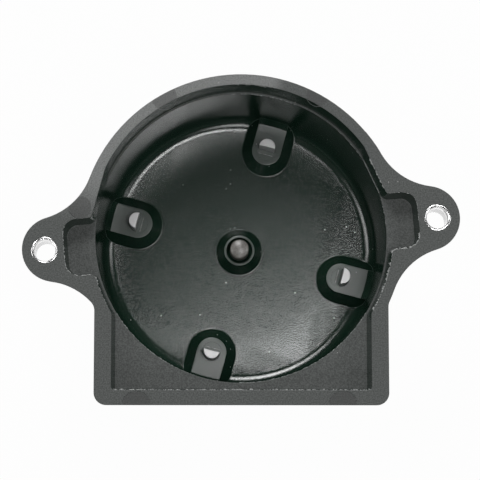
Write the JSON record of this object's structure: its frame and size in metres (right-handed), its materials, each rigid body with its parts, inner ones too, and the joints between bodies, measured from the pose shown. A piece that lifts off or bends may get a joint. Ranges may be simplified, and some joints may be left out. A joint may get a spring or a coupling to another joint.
{
  "type": "distributor cap",
  "caption": "Moulded distributor cap with screw ears, a square skirt, an open round chamber with electrodes, a sprung carbon brush, and lead towers on its closed side.",
  "frame": {"origin": "middle of the two ear screws, in the plane of the rim, on the axis of the round chamber", "axes": "+Z out of the open mouth, +X along the straight edge of the skirt, +Y away from the skirt"},
  "size_m": [0.1054, 0.0803, 0.0625],
  "materials": {
    "moulding": "dark grey glass-filled moulding, semi-gloss inside, blasted matte on the rim",
    "sleeve_metal": "zinc plated, satin",
    "electrode_alloy": "turned aluminium, satin",
    "carbon": "pressed carbon, dull grey with a polished crown",
    "spring_steel": "bright spring wire"
  },
  "bodies": {
    "cap": {"cap_body": "moulding", "screw_sleeve_right": "sleeve_metal", "screw_sleeve_left": "sleeve_metal", "lead_terminal_1": "electrode_alloy", "lead_terminal_2": "electrode_alloy", "lead_terminal_3": "electrode_alloy", "lead_terminal_4": "electrode_alloy", "centre_terminal": "electrode_alloy", "brush_spring": "spring_steel"},
    "brush": {"centre_brush": "carbon"}
  },
  "joints": [
    {"name": "brush_slide", "type": "slide", "parent": "cap", "child": "brush", "axis": [0, 0, -1], "range_m": [0, 0.003], "stiffness_N_per_m": 150, "springref_m": -0.003, "deforming": ["brush_spring"]}
  ]
}
